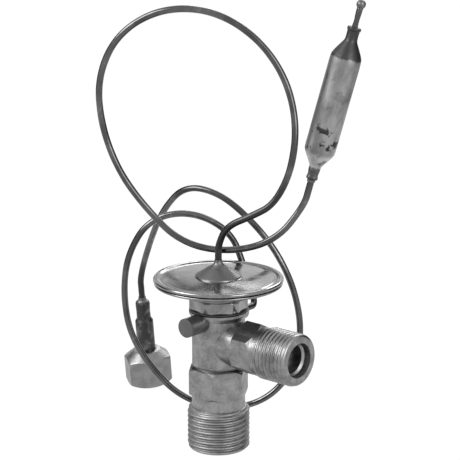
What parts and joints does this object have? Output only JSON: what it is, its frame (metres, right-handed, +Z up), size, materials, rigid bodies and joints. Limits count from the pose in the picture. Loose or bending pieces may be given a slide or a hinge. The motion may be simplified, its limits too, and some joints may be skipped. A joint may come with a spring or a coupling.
{
  "type": "thermostatic expansion valve",
  "caption": "Angle-pattern refrigerant expansion valve: forged body with two threaded ports, disc head, coiled capillary with sensing bulb, and an equaliser line with flare nut.",
  "frame": {"origin": "centre of the outlet end face, which the valve stands on", "axes": "+Z up the main axis from the outlet to the head, +X along the inlet port"},
  "size_m": [0.0955, 0.056, 0.1362],
  "materials": {
    "brass": "satin forged and turned brass",
    "plated_steel": "bright plated pressed steel",
    "steel": "plain spring and stainless steel",
    "tube": "dark drawn tube",
    "copper": "tarnished copper",
    "dark_copper": "heat darkened copper",
    "braze": "braze and solder",
    "seal": "black rubber"
  },
  "bodies": {
    "valve": {"valve_body": "brass", "seat_insert": "steel", "rod_seal": "seal", "seal_gland": "brass", "head_seal": "seal", "lower_cover": "plated_steel", "diaphragm": "steel", "upper_cover": "plated_steel", "superheat_spring": "steel", "capillary_braze": "braze", "capillary_tube": "tube", "bulb_braze": "braze", "sensing_bulb": "copper", "charge_tube": "tube", "charge_seal": "braze", "equaliser_braze": "braze", "equaliser_tube": "tube", "reducer": "dark_copper", "reducer_braze": "braze", "stub_tube": "dark_copper", "inlet_strainer": "steel", "strainer_ring": "steel"},
    "valve_train": {"buffer_plate": "steel", "push_rod": "steel", "valve_ball": "steel", "ball_carrier": "steel"},
    "spring_seat": {"spring_seat": "steel"},
    "adjuster": {"adjusting_nut": "brass"},
    "flare_nut": {"flare_nut": "brass"}
  },
  "joints": [
    {"name": "valve_lift", "type": "slide", "parent": "valve", "child": "valve_train", "axis": [0, 0, -1], "range_m": [0, 0.0008], "stiffness_N_per_m": 3000, "deforming": ["superheat_spring"]},
    {"name": "seat_shift", "type": "slide", "parent": "valve", "child": "spring_seat", "axis": [0, 0, 1], "range_m": [-0.0015, 0.0015]},
    {"name": "superheat_adjust", "type": "hinge", "parent": "spring_seat", "child": "adjuster", "pos_m": [0, 0, 0.012], "axis": [0, 0, 1], "range_deg": [-720, 720]},
    {"name": "nut_turn", "type": "hinge", "parent": "valve", "child": "flare_nut", "pos_m": [-0.05603, 0.02773, 0.00605], "axis": [0.0336, -0.1343, 0.9904], "continuous": true}
  ],
  "couplings": [
    {"joint": "superheat_adjust", "follows": "seat_shift", "rad_per_m": 8377.6}
  ]
}
